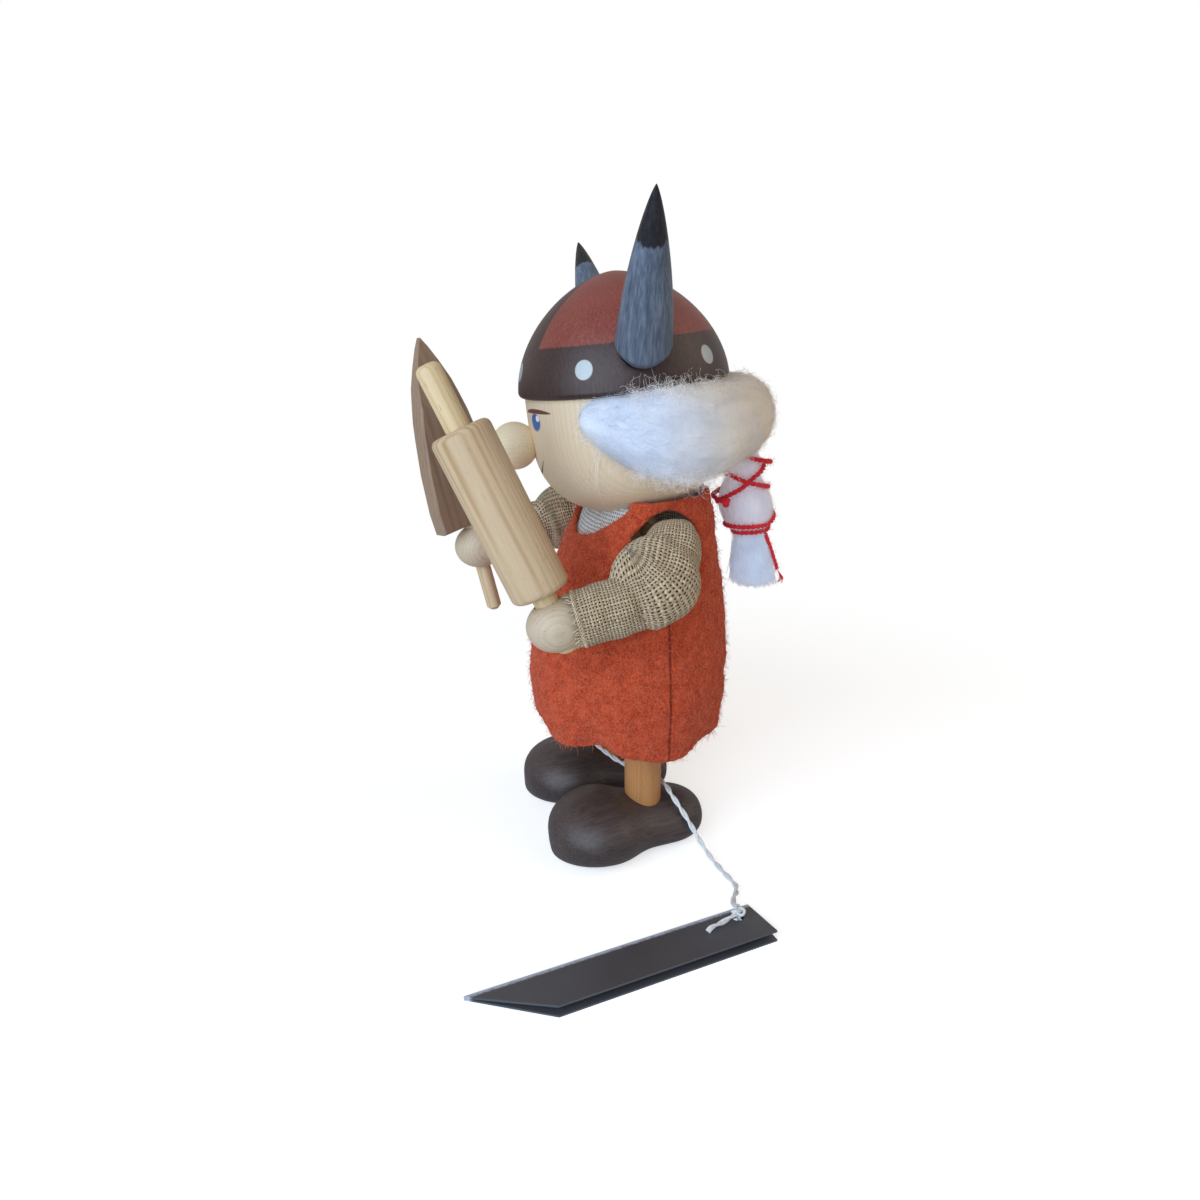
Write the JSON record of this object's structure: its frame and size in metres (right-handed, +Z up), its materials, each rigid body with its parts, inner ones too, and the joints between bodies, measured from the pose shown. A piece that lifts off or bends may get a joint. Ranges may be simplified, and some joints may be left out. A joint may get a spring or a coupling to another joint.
{
  "type": "viking gnome figurine",
  "caption": "Turned-wood viking figurine with horned helmet, wool hair and braid, felt dress, linen sleeves, a rolling pin and a wooden sword.",
  "frame": {"origin": "on the surface that the shoes stand on, under the middle of the figurine's box measured without the tag and its string", "axes": "+Z up, the figurine faces -Y, its own left side is towards +X"},
  "size_m": [0.119, 0.1, 0.1595],
  "materials": {
    "pale_wood": "satin lacquer on pale turned wood",
    "dowel_wood": "bare warm wood",
    "pine": "bare sanded pine with straight grain",
    "walnut": "bare brown board, sawn faces",
    "shoe_stain": "dark brown stain, semi-gloss",
    "helmet_stain": "red-brown and dark brown stain, semi-gloss, grain showing",
    "horn_stain": "blue-grey stain with black tips",
    "linen": "coarse undyed plain weave, matt",
    "felt": "orange-red wool felt, fuzzy",
    "wool": "uncombed white wool, matt",
    "red_yarn": "plied wool yarn, fuzzy",
    "card": "smooth dark grey card, blank",
    "cotton": "white twisted cotton, matt"
  },
  "bodies": {
    "base": {"shoe_left": "shoe_stain", "leg_left": "dowel_wood", "shoe_right": "shoe_stain", "leg_right": "dowel_wood", "torso": "pale_wood", "neck_dowel": "dowel_wood", "shoulder_peg_left": "dowel_wood", "shoulder_peg_right": "dowel_wood", "shirt": "linen", "dress": "felt", "tag_card": "card", "tag_string": "cotton"},
    "head": {"head": "pale_wood", "helmet": "helmet_stain", "nose": "pine", "horn_left": "horn_stain", "horn_right": "horn_stain", "hair": "wool", "braid": "wool", "braid_yarn": "red_yarn"},
    "left_arm": {"upper_arm_left": "pale_wood", "forearm_left": "pale_wood", "sleeve_left": "linen", "pin_roller": "pine", "pin_handle": "pine"},
    "right_arm": {"upper_arm_right": "pale_wood", "forearm_right": "pale_wood", "sleeve_right": "linen", "sword_blade": "walnut", "sword_handle": "pine"}
  },
  "joints": [
    {"name": "head_turn", "type": "hinge", "parent": "base", "child": "head", "pos_m": [0.00055, 0.00443, 0.0885], "axis": [0, 0, 1], "range_deg": [-27.3, 30]},
    {"name": "left_arm_swing", "type": "hinge", "parent": "base", "child": "left_arm", "pos_m": [0.02555, 0.00743, 0.086], "axis": [1, 0, 0], "range_deg": [-20, 10]},
    {"name": "right_arm_swing", "type": "hinge", "parent": "base", "child": "right_arm", "pos_m": [-0.02445, 0.00743, 0.086], "axis": [1, 0, 0], "range_deg": [-25, 10]}
  ]
}
